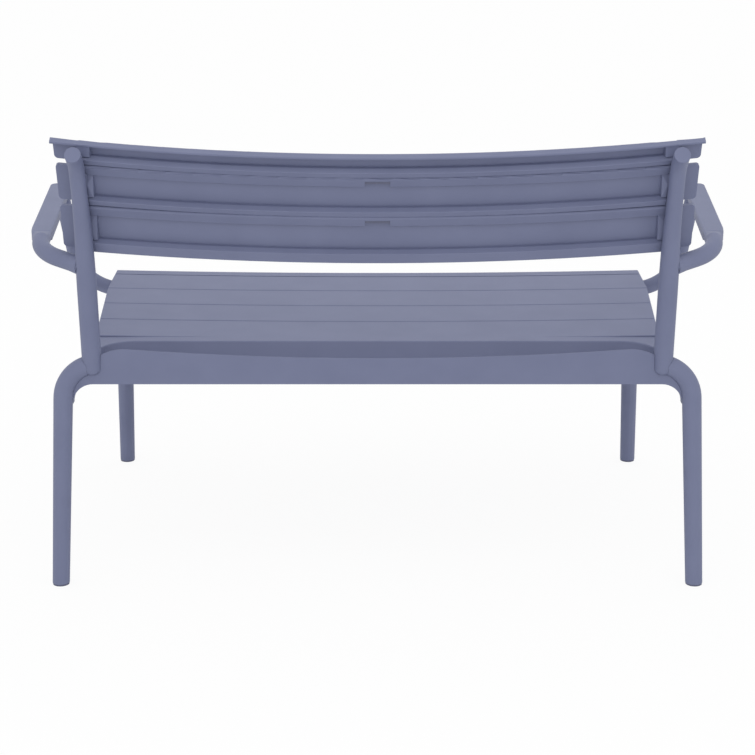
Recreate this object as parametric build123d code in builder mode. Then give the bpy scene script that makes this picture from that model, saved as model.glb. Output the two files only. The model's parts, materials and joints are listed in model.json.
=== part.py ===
# Garden lounge bench for two, with arms.
# Millimetres, +Z up, +X to a sitter's left, the front of the bench towards -Y, the floor at Z = 0.
import os
from math import asin, atan, cos, degrees, radians, sin, tan

from build123d import *

os.makedirs("parts", exist_ok=True)

# Widths and heights that the rest hangs on
seat_half_width_rear = 463.0
seat_half_width_front = seat_half_width_rear + 29.5
rear_frame_height = 362.0
front_frame_height = 356.0

# Legs and feet
rear_foot_x = seat_half_width_rear + 58.0
rear_foot_y = 285.0
front_foot_x = seat_half_width_front
front_foot_y = -320.5
leg_splay = 2.17
leg_rake = 8.05
foot_diameter = 28.0
leg_diameter = 31.5
bend_radius = 57.0
tongue_thickness = 9.0
tongue_height = 20.0
tongue_drop = 3.0
tongue_root = 5.0
tongue_reach = 40.0
glide_height = 3.0
glide_inset = 0.5
glide_stem_diameter = 14.0
glide_stem_length = 18.0

# Aprons between the legs
apron_thickness = 16.0
rear_apron_bottom = rear_frame_height - 32.0
rear_apron_crest = rear_frame_height + 26.5
rear_apron_crest_x = seat_half_width_rear - 60.0
rear_apron_sag = 15.0
rear_apron_end_drop = 14.0
rear_apron_ledge = rear_frame_height - 1.0
front_apron_bottom = front_frame_height - 26.0
front_apron_top = front_frame_height + 10.0
front_apron_gap = 5.0
apron_web = 5.0
apron_rim_bevel = 3.8
apron_border = 6.0
apron_rib = 4.0
apron_rib_count = 5
apron_solid_end = 90.0
gusset_radius = 34.0

# Back posts
post_x = seat_half_width_rear - 2.0
post_base_diameter = 31.5
post_top_diameter = 25.2
post_foot_drop = 16.5
post_foot_round = 11.0
post_setback = 8.0
post_top_rise = 8.0
post_end_run = 31.0
post_end_rise = 30.0
post_knee_radius = 150.0
post_top_radius = 40.0
post_shares = (0, 0.22, 0.42, 0.6, 0.74, 0.84, 0.92, 1)
cap_thickness = 2.5
cap_stem_diameter = 15.0
cap_stem_length = 10.0
cap_round = 1.0

# Back slats, from the bottom up
slat_bow_radius = 2567.0
slat_half_length = seat_half_width_rear + 35.5
slat_depth = 20.0
slat_recess = 12.0
slat_gap = 7.0
slat_front_round = 5.0
slat_rear_round = 1.2
slat_corner_radius = 6.0
slat_pad_x = post_x - 20.5
slat_base_y = 281.9
slat_base_z = rear_frame_height + 177.6
bottom_slat_lean = 14.0
bottom_slat_height = 72.4
bottom_lower_lip = 21.3
middle_slat_lean = 17.5
middle_slat_height = 60.9
top_slat_lean = 21.0
top_slat_height = 33.3
upper_lip = 5.0
upper_lip_rise = 6.0
upper_lip_draft = 3.0
upper_lip_wall = 3.0
lower_lip = 13.8
lower_lip_bevel = 6.0
lower_lip_fall = 2.8
lower_lip_draft = 2.0
top_flange = 3.5
top_flange_overhang = 4.2
peg_diameter = 9.0
peg_reach = 6.0
upstand_height = 3.5
upstand_depth = 4.0
spacer_width = 39.0
spacer_depth = 6.0
slot_roof = 2.8

# Seat
seat_rear_y = 145.0
seat_mid_z = rear_frame_height + 11.0
seat_front_rise = 28.6
seat_dish = 5.0
seat_slat_count = 4
seat_slat_pitch = 97.1
seat_slat_gap = 2.4
seat_slat_skin = 5.0
seat_slat_depth = 14.0
seat_slat_lip = 5.0
seat_edge_chamfer = 1.2
seat_edge_rear_x = seat_half_width_rear + 6.5
seat_flare_end_y = -171.0
rear_slat_width = 22.5
rear_slat_rise = 2.2
rear_skirt = 36.0
rear_skirt_wall = 5.0
rear_ear_tip_y = 210.0
rear_ear_width = 5.0
rear_ear_radius = 58.0
rear_slat_round = 2.0
front_slat_width = 38.0
front_skirt_wall = 4.0
front_roll_radius = 14.0
front_skirt = 38.0
front_corner_radius = 18.0

# Seat rails
rail_width = 16.0
rail_height = 26.0
rail_rear_step = 14.0
rail_x = seat_half_width_rear - 24.0
centre_rail_width = 32.0
tenon_width = 8.0
tenon_height = 9.0
tenon_length = 8.0
tenon_rise = 6.5
tenon_root = 1.0

# Arms
arm_diameter = 28.0
arm_joint_z = rear_frame_height + 165.0
arm_spigot_diameter = 14.0
arm_spigot_length = 12.0
arm_collar_diameter = 38.0
arm_collar_length = 13.0
arm_bend_radius = 80.0
arm_knee_back = 74.0
arm_knee_drop = 7.5
arm_flat_length = 30.0
arm_rest_width = 36.0
arm_rest_height = 15.0
arm_rest_length = 370.0
arm_rest_rear_x = seat_half_width_rear + 89.5
arm_rest_rear_y = 130.0
arm_rest_top_z = rear_frame_height + 196.0
arm_rest_flare = 4.5
arm_rest_rise = 1.6
arm_rest_corner = 12.0
arm_rest_round = 4.0
arm_tongue_width = 18.0
arm_tongue_height = 7.0
arm_tongue_length = 24.0
front_arm_diameter = 27.0
front_arm_inset = 32.0
front_arm_offset = 4.0
front_arm_knee_x = seat_half_width_front + 63.5
front_arm_height = front_frame_height + 3.5
front_arm_bend_radius = 85.0
front_arm_peg_diameter = 18.0
front_arm_peg_length = 9.0

# Screws and fits
screw_diameter = 4.5
screw_head_diameter = 9.0
screw_head_height = 3.5
screw_bite = 7.0
screw_boss_diameter = 12.0
front_screw_inner_x = 13.0
front_screw_outer_x = rail_x - 84.0
front_screw_drop = 10.0
fit_clearance = 0.15
cope_clearance = 0.3


def save(piece, name):
    piece.part.label = name
    export_step(piece.part, f"parts/{name}.step")


def save_pair(piece, name):
    save(piece, f"left_{name}")
    with BuildPart() as twin:
        mirror(piece.part, about=Plane.YZ)
    save(twin, f"right_{name}")


# Points and directions that the pieces share
left = Vector(1, 0, 0)
back = Vector(0, 1, 0)
up = Vector(0, 0, 1)
splay = tan(radians(leg_splay))
rake = tan(radians(leg_rake))


class Leg:
    # Centre line of one leg: side is 1 at the rear and -1 at the front
    def __init__(self, foot_x, foot_y, side, height):
        self.foot = Vector(foot_x, foot_y, 0)
        self.corner = Vector(foot_x - splay * height, foot_y - side * rake * height, height)
        self.up = (self.corner - self.foot).normalized()
        turn = self.up.get_angle(left * -1)
        self.tangent = bend_radius * tan(radians(turn / 2))
        self.bend_start = self.corner - self.up * self.tangent
        self.bend_end = self.corner - left * self.tangent

    def at_height(self, z):
        return self.foot + self.up * (z / self.up.Z)


rear_leg_line = Leg(rear_foot_x, rear_foot_y, 1, rear_frame_height)
front_leg_line = Leg(front_foot_x, front_foot_y, -1, front_frame_height)
rear_apron_y = rear_leg_line.corner.Y
front_apron_y = front_leg_line.corner.Y


class SlatFrame:
    # A back slat's own frame: its origin is the rear lower edge at mid length
    def __init__(self, y, z, lean, height):
        tilt = radians(lean)
        self.height = height
        self.up = Vector(0, sin(tilt), cos(tilt))
        self.ahead = Vector(0, -cos(tilt), sin(tilt))
        self.origin = Vector(0, y, z)
        self.top = self.origin + self.up * height
        self.axis_point = self.origin + self.ahead * slat_bow_radius
        self.bow_axis = Axis(self.axis_point, self.up * -1)

    def inward(self, angle):
        return self.ahead * cos(radians(angle)) - left * sin(radians(angle))

    def along(self, angle):
        return left * cos(radians(angle)) + self.ahead * sin(radians(angle))

    def place(self, angle, depth=0.0, rise=0.0):
        return self.axis_point - self.inward(angle) * (slat_bow_radius - depth) + self.up * rise

    def section(self, angle):
        return Plane(self.place(angle), x_dir=self.inward(angle), z_dir=self.along(angle) * -1)

    def face(self):
        return Plane(self.origin, x_dir=left, z_dir=self.ahead)


def next_slat(below, lean, height):
    middle = radians((degrees(atan(below.up.Y / below.up.Z)) + lean) / 2)
    start = below.top + Vector(0, sin(middle), cos(middle)) * slat_gap
    return SlatFrame(start.Y, start.Z, lean, height)


bottom_slat = SlatFrame(slat_base_y, slat_base_z, bottom_slat_lean, bottom_slat_height)
middle_slat = next_slat(bottom_slat, middle_slat_lean, middle_slat_height)
top_slat = next_slat(middle_slat, top_slat_lean, top_slat_height)
slat_end_angle = degrees(asin((slat_half_length + slat_depth) / slat_bow_radius))
slat_post_angle = degrees(asin(post_x / slat_bow_radius))
slat_pad_angle = degrees(asin(slat_pad_x / slat_bow_radius))
back_slats = (("bottom_back_slat", bottom_slat, bottom_slat_height / 2, bottom_lower_lip, 0.0),
              ("middle_back_slat", middle_slat, middle_slat_height / 2, lower_lip, 0.0),
              ("top_back_slat", top_slat, lower_lip / 2, lower_lip, top_flange))


def post_point(slat, rise):
    point = slat.place(slat_post_angle, rise=rise) - slat.ahead * post_setback
    return Vector(post_x, point.Y, point.Z)


post_foot = Vector(post_x, rear_apron_y, rear_frame_height - post_foot_drop)
post_knee = post_point(bottom_slat, bottom_slat_height / 2)
post_bend = post_point(middle_slat, middle_slat_height / 2)
post_corner = post_point(top_slat, post_top_rise)
post_end = Vector(0, cos(radians(post_end_rise)), sin(radians(post_end_rise)))
post_tip = post_corner + post_end * post_end_run
post_lean = (post_knee - post_foot).normalized()
arm_joint = post_foot + post_lean * ((arm_joint_z - post_foot.Z) / post_lean.Z)

seat_front_z = front_frame_height + seat_front_rise
seat_tilt = degrees(atan((seat_front_z - seat_mid_z) / (seat_rear_y - front_apron_y)))
seat_ahead = Vector(0, -cos(radians(seat_tilt)), sin(radians(seat_tilt)))
seat_up = Vector(0, sin(radians(seat_tilt)), cos(radians(seat_tilt)))
seat_origin = Vector(0, seat_rear_y, seat_mid_z)
seat_bow_radius = (seat_half_width_rear ** 2 + seat_dish ** 2) / (2 * seat_dish)
seat_bow_axis = Axis(seat_origin + seat_up * seat_bow_radius, seat_ahead)
seat_section = Plane(seat_origin, x_dir=seat_ahead, z_dir=left * -1)
seat_half_angle = degrees((seat_half_width_front + seat_slat_lip) / seat_bow_radius)
front_slat_start = rear_slat_width + seat_slat_count * seat_slat_pitch + seat_slat_gap / 2


def seat_height(x, y, drop=0.0):
    # Height of the dished seat surface, less a drop, above a point of the floor
    rise = seat_bow_radius - (seat_bow_radius ** 2 - x ** 2) ** 0.5
    return seat_mid_z + (seat_rear_y - y) * tan(radians(seat_tilt)) + rise - drop


def rail_top(x, width, y):
    # The slats' lips rest on a rail along its edge nearer the middle of the bench
    return seat_height(max(abs(x) - width / 2, 0.0), y, seat_slat_depth / cos(radians(seat_tilt)))


def slat_middle(index):
    reach = rear_slat_width + seat_slat_pitch * (index + 0.5)
    return seat_rear_y - reach * cos(radians(seat_tilt))


rest_ahead = Vector(sin(radians(arm_rest_flare)), -cos(radians(arm_rest_flare)),
                    tan(radians(arm_rest_rise))).normalized()
rest_across = rest_ahead.cross(up).normalized()
rest_up = rest_across.cross(rest_ahead)
rest_rear = Vector(arm_rest_rear_x, arm_rest_rear_y, arm_rest_top_z - arm_rest_height / 2)
rest_floor = Plane(rest_rear - rest_up * (arm_rest_height / 2), x_dir=rest_ahead, z_dir=rest_up)
arm_shift = rest_across * ((arm_rest_width - arm_diameter) / 2)
arm_flat_start = rest_rear + arm_shift - rest_ahead * arm_flat_length
arm_knee = rest_rear + arm_shift - rest_ahead * arm_knee_back - up * arm_knee_drop
arm_start = (arm_knee - arm_joint).normalized()
front_arm_top = (rest_floor.origin + rest_ahead * (arm_rest_length - front_arm_inset)
                 + rest_across * front_arm_offset)
front_arm_knee = Vector(front_arm_knee_x, front_apron_y, front_arm_height)
front_arm_foot = Vector(front_leg_line.bend_end.X + bend_radius / 2, front_apron_y, front_arm_height)


# Shapes that one piece has and another is cut to
def leg_tube(line, end_x, extra):
    low = line.foot - line.up * leg_diameter
    taper = (leg_diameter - foot_diameter) / (line.bend_start - line.foot).length
    low_diameter = foot_diameter - taper * leg_diameter
    run_x = min(end_x, line.bend_end.X) - front_apron_gap
    with BuildPart() as tube:
        with BuildSketch(Plane(low, z_dir=line.up)):
            Circle(low_diameter / 2 + extra)
        with BuildSketch(Plane(line.bend_start, z_dir=line.up)):
            Circle(leg_diameter / 2 + extra)
        loft()
        with BuildLine() as path:
            run_end = Vector(run_x, line.corner.Y, line.corner.Z)
            FilletPolyline(line.bend_start - line.up, line.corner, run_end, radius=bend_radius)
        with BuildSketch(Plane(path.wire() @ 0, z_dir=line.up)):
            Circle(leg_diameter / 2 + extra)
        sweep(path=path.wire())
        split(bisect_by=Plane.YZ.offset(end_x), keep=Keep.TOP)
    return tube.part


def post_solid(extra):
    # Round post: straight up to the arm joint, then tapering along its curve
    with BuildLine() as path:
        FilletPolyline(arm_joint, post_knee, post_bend, post_corner, post_tip,
                       radius=(post_knee_radius, post_knee_radius, post_top_radius))
    line = path.wire()
    with BuildPart() as solid:
        with BuildSketch(Plane(post_foot, x_dir=left, z_dir=post_lean)):
            Circle(post_base_diameter / 2 + extra)
        extrude(amount=(arm_joint - post_foot).length)
        fillet(solid.edges().group_by(Axis.Z)[0], post_foot_round)
        for share in post_shares:
            diameter = post_base_diameter + (post_top_diameter - post_base_diameter) * share
            with BuildSketch(Plane(line @ share, x_dir=left, z_dir=line % share)):
                Circle(diameter / 2 + extra)
        loft()
    return solid.part


def tongue(line, start_x, socket_x, extra):
    # Flat tongue on the inner end of a leg, pointing to the middle of the bench
    start = Vector(start_x, line.corner.Y, line.corner.Z - tongue_drop)
    with BuildPart() as bar:
        with BuildSketch(Plane(start, x_dir=back, z_dir=left * -1)):
            Rectangle(tongue_thickness + 2 * extra, tongue_height + 2 * extra)
        extrude(amount=start_x - socket_x + tongue_reach + extra)
    return bar.part


def rod(start, direction, length, diameter):
    with BuildPart() as bar:
        with BuildSketch(Plane(start, z_dir=direction)):
            Circle(diameter / 2)
        extrude(amount=length)
    return bar.part


def slat_peg(slat, rise, extra):
    root = (slat_recess + slat_depth) / 2
    start = slat.place(slat_post_angle, root, rise)
    length = root + peg_reach + extra
    return rod(start, slat.inward(slat_post_angle) * -1, length, peg_diameter + 2 * extra)


def arm_spigot(extra):
    reach = post_base_diameter / 2 + arm_diameter / 2
    start = arm_joint + arm_start * reach
    length = reach - post_base_diameter / 2 + arm_spigot_length + extra
    return rod(start, arm_start * -1, length, arm_spigot_diameter + 2 * extra)


def front_arm_spigot(extra):
    start = Vector(front_leg_line.corner.X + leg_diameter / 2, front_apron_y, front_arm_height)
    length = leg_diameter + arm_spigot_length + extra
    return rod(start, left * -1, length, arm_spigot_diameter + 2 * extra)


def rest_tongue(extra):
    with BuildPart() as bar:
        with BuildSketch(Plane(rest_rear, x_dir=rest_across, z_dir=rest_ahead)):
            Rectangle(arm_tongue_width + 2 * extra, arm_tongue_height + 2 * extra)
        extrude(amount=arm_tongue_length + extra)
    return bar.part


def screw(head, direction, length, extra):
    # Pan screw: head is the outer face of its head, direction points along the shank
    with BuildPart() as body:
        with BuildSketch(Plane(head, z_dir=direction)):
            Circle(screw_head_diameter / 2 + extra)
        extrude(amount=screw_head_height)
        with BuildSketch(Plane(head, z_dir=direction)):
            Circle(screw_diameter / 2 + extra)
        extrude(amount=length + extra)
    return body.part


rear_socket_x = post_x - post_base_diameter / 2
front_socket_x = front_leg_line.bend_end.X - front_apron_gap
rear_leg_cutter = leg_tube(rear_leg_line, post_x, cope_clearance)
front_leg_cutter = leg_tube(front_leg_line, front_socket_x, cope_clearance)
post_cutter = post_solid(cope_clearance)


def rear_tongue(extra):
    return tongue(rear_leg_line, post_x + post_base_diameter / 2 + tongue_root, rear_socket_x, extra)


def front_tongue(extra):
    return tongue(front_leg_line, front_socket_x + tongue_root, front_socket_x, extra)


def tongue_screw(line, socket_x, bottom, extra):
    head = Vector(socket_x - tongue_reach / 2, line.corner.Y, bottom)
    length = line.corner.Z - tongue_drop - tongue_height / 2 - bottom + screw_bite
    return screw(head, up, length, extra)


def rest_screw(extra):
    head = rest_floor.origin + rest_ahead * (arm_tongue_length / 2)
    return screw(head, rest_up, arm_rest_height / 2 + arm_tongue_height / 4, extra)


def front_slat_screw(x, extra):
    head = Vector(x, front_apron_y + apron_thickness / 2, front_apron_top - front_screw_drop)
    return screw(head, back * -1, apron_thickness + screw_bite, extra)


def seat_screw(x, width, y, extra):
    head = Vector(x, y, rail_top(x, width, y) - rail_height + screw_head_height / 2)
    return screw(head, up, rail_height - screw_head_height / 2 + screw_bite, extra)


def tenon(x, width, y, side, extra):
    # Tenon on the end of a rail, side is 1 at the rear apron and -1 at the front
    base = Vector(x, y - side * tenon_root, rail_top(x, width, y) - rail_height + tenon_rise)
    with BuildPart() as bar:
        with BuildSketch(Plane(base, x_dir=left * side, z_dir=back * side)):
            Rectangle(tenon_width + 2 * extra, tenon_height + 2 * extra)
        extrude(amount=tenon_root + tenon_length + extra)
    return bar.part


def rail_bar(x, width, front_y, has_tail, extra):
    # Rail with its top under the slats' lips, and a tail that passes below the rear slat's skirt
    step_y = seat_rear_y - rear_skirt_wall - cope_clearance + extra
    top_rear = rail_top(x, width, rail_rear_y) + extra
    top_step = rail_top(x, width, step_y) + extra
    top_front = rail_top(x, width, front_y) + extra
    low = rail_height + 2 * extra
    outline = [(step_y, top_step), (front_y, top_front), (front_y, top_front - low)]
    if has_tail:
        outline += [(rail_rear_y, top_rear - low), (rail_rear_y, top_rear - rail_rear_step),
                    (step_y, top_step - rail_rear_step)]
    else:
        outline += [(step_y, top_step - low)]
    with BuildPart() as bar:
        with BuildSketch(Plane.YZ.offset(x - width / 2 - extra)):
            with BuildLine():
                Polyline(*outline, close=True)
            make_face()
        extrude(amount=width + 2 * extra)
    return bar.part


rail_rear_y = rear_apron_y - apron_thickness / 2
centre_rail_front_y = front_apron_y + apron_thickness / 2
side_rail_front_y = front_apron_y + leg_diameter / 4
side_tenon_y = front_apron_y + leg_diameter / 2
rear_boss_y = seat_rear_y - rear_slat_width / 2
seat_screw_rows = [slat_middle(index) for index in range(seat_slat_count)] + [rear_boss_y]

# Legs
with BuildPart() as rear_leg:
    add(leg_tube(rear_leg_line, post_x, 0.0))
    add(post_cutter, mode=Mode.SUBTRACT)
    add(rear_tongue(0.0))
    add(tongue_screw(rear_leg_line, rear_socket_x, rear_apron_bottom, fit_clearance), mode=Mode.SUBTRACT)
    split(bisect_by=Plane.XY.offset(glide_height), keep=Keep.TOP)
    add(rod(rear_leg_line.at_height(glide_height), up, glide_stem_length + fit_clearance,
            glide_stem_diameter + 2 * fit_clearance), mode=Mode.SUBTRACT)
save_pair(rear_leg, "rear_leg")

with BuildPart() as front_leg:
    add(leg_tube(front_leg_line, front_socket_x, 0.0))
    add(front_tongue(0.0))
    add(tongue_screw(front_leg_line, front_socket_x, front_apron_bottom, fit_clearance), mode=Mode.SUBTRACT)
    add(front_arm_spigot(fit_clearance), mode=Mode.SUBTRACT)
    add(tenon(rail_x, rail_width, side_tenon_y, -1, fit_clearance), mode=Mode.SUBTRACT)
    split(bisect_by=Plane.XY.offset(glide_height), keep=Keep.TOP)
    add(rod(front_leg_line.at_height(glide_height), up, glide_stem_length + fit_clearance,
            glide_stem_diameter + 2 * fit_clearance), mode=Mode.SUBTRACT)
save_pair(front_leg, "front_leg")

for line, end in ((rear_leg_line, "rear"), (front_leg_line, "front")):
    with BuildPart() as glide:
        base = line.at_height(glide_height)
        add(rod(base, up * -1, glide_height, foot_diameter - 2 * glide_inset))
        add(rod(base, up, glide_stem_length, glide_stem_diameter))
    save_pair(glide, f"{end}_foot_glide")


# Aprons
def apron_half(line, y, bottom, top_points, socket_x, channel_top, channel_side):
    # Flat panel with a rounded gusset under the leg's bend, and a ribbed channel on its inner side
    gusset_z = bottom - gusset_radius
    gusset_x = line.at_height(gusset_z).X - leg_diameter / 2
    bend_x = line.bend_end.X
    bend_z = line.bend_end.Z - bend_radius
    inner = bend_radius - leg_diameter / 4
    first = centre_rail_width / 2 + apron_border
    last = socket_x - apron_solid_end
    pitch = (last - first + apron_rib) / (apron_rib_count + 1)
    channel_height = channel_top - bottom - 2 * apron_border
    inner_y = y - channel_side * apron_thickness / 2
    with BuildPart() as half:
        with BuildSketch(Plane.XZ.offset(-(y + apron_thickness / 2))):
            with BuildLine():
                Line((0, bottom), (gusset_x - gusset_radius, bottom))
                TangentArc((gusset_x - gusset_radius, bottom), (gusset_x, gusset_z), tangent=(1, 0))
                Line((gusset_x, gusset_z), (bend_x + inner, bend_z))
                TangentArc((bend_x, bend_z + inner), (bend_x + inner, bend_z), tangent=(1, 0))
                Polyline((bend_x, bend_z + inner), *top_points)
                if channel_side > 0:
                    TangentArc((rear_apron_crest_x, rear_apron_crest), top_points[-1],
                               tangent=(1, 2 * rear_apron_sag / rear_apron_crest_x))
                    TangentArc((0, rear_apron_crest - rear_apron_sag), (rear_apron_crest_x, rear_apron_crest),
                               tangent=(1, 0))
                    Line((0, rear_apron_crest - rear_apron_sag), (0, bottom))
                else:
                    Line((0, channel_top), (0, bottom))
            make_face()
        extrude(amount=apron_thickness)
        with BuildSketch(Plane.XZ.offset(-inner_y)):
            with Locations(((first + last) / 2, bottom + apron_border + channel_height / 2)):
                with GridLocations(pitch, 1, apron_rib_count + 1, 1):
                    Rectangle(pitch - apron_rib, channel_height)
        extrude(amount=-channel_side * (apron_thickness - apron_web), mode=Mode.SUBTRACT)
    return half.part


with BuildPart() as rear_apron:
    add(apron_half(rear_leg_line, rear_apron_y, rear_apron_bottom,
                   [(post_x - post_base_diameter / 4, rear_apron_crest - rear_apron_end_drop)],
                   rear_socket_x, rear_apron_ledge, 1))
    with BuildSketch(Plane.XZ.offset(-(rear_apron_y - apron_thickness / 2))):
        with Locations((0, rear_apron_ledge)):
            Rectangle(rear_foot_x, rear_apron_crest, align=(Align.MIN, Align.MIN))
    extrude(amount=apron_web - apron_thickness, mode=Mode.SUBTRACT)
    web_y = rear_apron_y + apron_thickness / 2 - apron_web
    rim = rear_apron.edges().filter_by(GeomType.CIRCLE)
    chamfer(rim.filter_by_position(Axis.Y, web_y - fit_clearance, web_y + fit_clearance), apron_rim_bevel)
    add(rear_leg_cutter, mode=Mode.SUBTRACT)
    add(post_cutter, mode=Mode.SUBTRACT)
    add(rear_tongue(fit_clearance), mode=Mode.SUBTRACT)
    add(tongue_screw(rear_leg_line, rear_socket_x, rear_apron_bottom, fit_clearance), mode=Mode.SUBTRACT)
    add(tenon(rail_x, rail_width, rail_rear_y, 1, fit_clearance), mode=Mode.SUBTRACT)
    mirror(about=Plane.YZ)
save(rear_apron, "rear_apron")

with BuildPart() as front_apron:
    add(apron_half(front_leg_line, front_apron_y, front_apron_bottom,
                   [(front_socket_x - fit_clearance, front_frame_height),
                    (front_socket_x - fit_clearance, front_apron_top), (0, front_apron_top)],
                   front_socket_x, front_apron_top, -1))
    add(front_leg_cutter, mode=Mode.SUBTRACT)
    add(front_tongue(fit_clearance), mode=Mode.SUBTRACT)
    add(tongue_screw(front_leg_line, front_socket_x, front_apron_bottom, fit_clearance), mode=Mode.SUBTRACT)
    for x in (front_screw_inner_x, front_screw_outer_x):
        add(front_slat_screw(x, fit_clearance), mode=Mode.SUBTRACT)
    mirror(about=Plane.YZ)
    add(tenon(0.0, centre_rail_width, centre_rail_front_y, -1, fit_clearance), mode=Mode.SUBTRACT)
save(front_apron, "front_apron")

# Back posts and their caps
with BuildPart() as back_post:
    add(post_solid(0.0))
    add(rear_tongue(fit_clearance), mode=Mode.SUBTRACT)
    add(arm_spigot(fit_clearance), mode=Mode.SUBTRACT)
    for name, slat, peg_rise, lip, flange in back_slats:
        add(slat_peg(slat, peg_rise, fit_clearance), mode=Mode.SUBTRACT)
    add(rod(post_tip, post_end * -1, cap_stem_length + fit_clearance, cap_stem_diameter + 2 * fit_clearance),
        mode=Mode.SUBTRACT)
save_pair(back_post, "back_post")

with BuildPart() as post_cap:
    with BuildSketch(Plane(post_tip, x_dir=left, z_dir=post_end)):
        Circle(post_top_diameter / 2)
    extrude(amount=cap_thickness)
    fillet(post_cap.edges().sort_by(Axis.Y)[-1], cap_round)
    add(rod(post_tip, post_end * -1, cap_stem_length, cap_stem_diameter))
save_pair(post_cap, "post_cap")


# Back slats: curved in plan, open to the rear, let over the posts and pegged to them
def back_slat(slat, peg_rise, lip, flange):
    tall = slat.height
    top_lip = flange if flange else upper_lip
    lip_end = tall - flange if flange else tall + slat_gap
    recess_height = tall - lip - top_lip
    upstand_start = slat_recess + upstand_depth / 2
    lip_top = tall + upper_lip_rise
    lip_front = upper_lip_draft + upper_lip_wall
    crest = [(0, tall)] if flange else [(upper_lip_draft, lip_top), (lip_front, lip_top), (lip_front, tall)]
    with BuildPart() as board:
        with BuildSketch(slat.section(0)) as profile:
            with BuildLine():
                Polyline((lower_lip_draft, 0), (0, lip - lower_lip_fall), (lower_lip_bevel, lip),
                         (slat_recess, lip), (slat_recess, tall - top_lip), (0, tall - top_lip), *crest,
                         (slat_depth, tall), (slat_depth, 0), close=True)
            make_face()
            fillet(profile.vertices().sort_by(Axis.X)[-2:], slat_front_round)
            fillet(profile.vertices().sort_by(Axis.X)[:4], slat_rear_round)
            if not flange:
                with Locations((upstand_start, tall + upstand_height)):
                    Rectangle(upstand_depth, upper_lip, align=(Align.MIN, Align.MAX))
        revolve(axis=slat.bow_axis, revolution_arc=slat_end_angle)
        with BuildSketch(slat.section(slat_pad_angle)):
            with Locations((slat_rear_round, lip)):
                Rectangle(slat_recess, recess_height, align=(Align.MIN, Align.MIN))
        revolve(axis=slat.bow_axis, revolution_arc=slat_post_angle - slat_pad_angle)
        with BuildSketch(slat.section(slat_post_angle)):
            with Locations((-slat_recess, -slat_gap)):
                Rectangle(2 * slat_recess, lip_end + slat_gap, align=(Align.MIN, Align.MIN))
        revolve(axis=slat.bow_axis, revolution_arc=slat_end_angle, mode=Mode.SUBTRACT)
        with BuildSketch(slat.face()):
            with Locations((0, tall / 2)):
                RectangleRounded(2 * slat_half_length, tall, slat_corner_radius)
            if flange:
                with Locations((0, tall)):
                    Rectangle(2 * (slat_half_length + top_flange_overhang), flange,
                              align=(Align.CENTER, Align.MAX))
            else:
                with Locations((0, tall)):
                    Rectangle(2 * post_x, 2 * upper_lip_rise)
        extrude(amount=slat_half_length / 4, both=True, mode=Mode.INTERSECT)
        if not flange:
            with BuildSketch(slat.face()):
                with Locations((0, tall - upper_lip)):
                    Rectangle(spacer_width, upper_lip + upper_lip_rise - slot_roof,
                              align=(Align.CENTER, Align.MIN))
            extrude(amount=slat_recess, both=True, mode=Mode.SUBTRACT)
            with BuildSketch(slat.face().offset(slat_recess)):
                with Locations((0, tall)):
                    Rectangle(spacer_width, upstand_height, align=(Align.CENTER, Align.MIN))
            extrude(amount=slat_depth, mode=Mode.SUBTRACT)
        add(post_cutter, mode=Mode.SUBTRACT)
        add(slat_peg(slat, peg_rise, 0.0))
        mirror(about=Plane.YZ)
    return board


for name, slat, peg_rise, lip, flange in back_slats:
    save(back_slat(slat, peg_rise, lip, flange), name)

# Spacers that fill the gaps of the back at mid length, behind a slot in the lip of the slat below
for below, above, name in ((bottom_slat, middle_slat, "lower_slat_spacer"),
                           (middle_slat, top_slat, "upper_slat_spacer")):
    with BuildPart() as spacer:
        spacer_front = slat_recess + spacer_depth
        ring = [below.top + below.ahead * slat_recess, below.top + below.ahead * spacer_front,
                above.origin + above.ahead * spacer_front, above.origin + above.ahead * slat_recess]
        with BuildSketch(Plane.YZ):
            with BuildLine():
                Polyline(*[(point.Y, point.Z) for point in ring], close=True)
            make_face()
        extrude(amount=spacer_width / 2, both=True)
    save(spacer, name)


# Seat slats: dished along their length, hollow below, cut to the outline of the seat
def seat_blank(inset):
    flare = (seat_half_width_front - seat_edge_rear_x) / (seat_rear_y - seat_flare_end_y)
    tip_x = seat_edge_rear_x - flare * (rear_ear_tip_y - seat_rear_y)
    front_y = seat_rear_y - (front_slat_start + front_slat_width) * cos(radians(seat_tilt)) + inset
    side_x = seat_half_width_front - inset
    with BuildPart() as blank:
        with BuildSketch() as plan:
            with BuildLine():
                Polyline((0, rear_ear_tip_y), (tip_x - inset, rear_ear_tip_y), (side_x, seat_flare_end_y),
                         (side_x, front_y), (0, front_y), close=True)
            make_face()
            fillet(plan.vertices().sort_by_distance((side_x, front_y))[0], front_corner_radius - inset)
        extrude(amount=2 * rear_apron_crest)
    return blank.part


seat_trim = seat_blank(0.0)
seat_hollow_trim = seat_blank(seat_slat_lip)


def dished(section, trim):
    with BuildPart() as half:
        revolve(section, axis=seat_bow_axis, revolution_arc=seat_half_angle)
        add(trim, mode=Mode.INTERSECT)
    return half.part


def seat_boss(x, width, y):
    # Screw boss that stands on a rail and reaches the skin of a slat
    base = Vector(x, y, rail_top(x, width, y))
    return rod(base, seat_up, seat_slat_depth - seat_slat_skin / 2, screw_boss_diameter)


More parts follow.
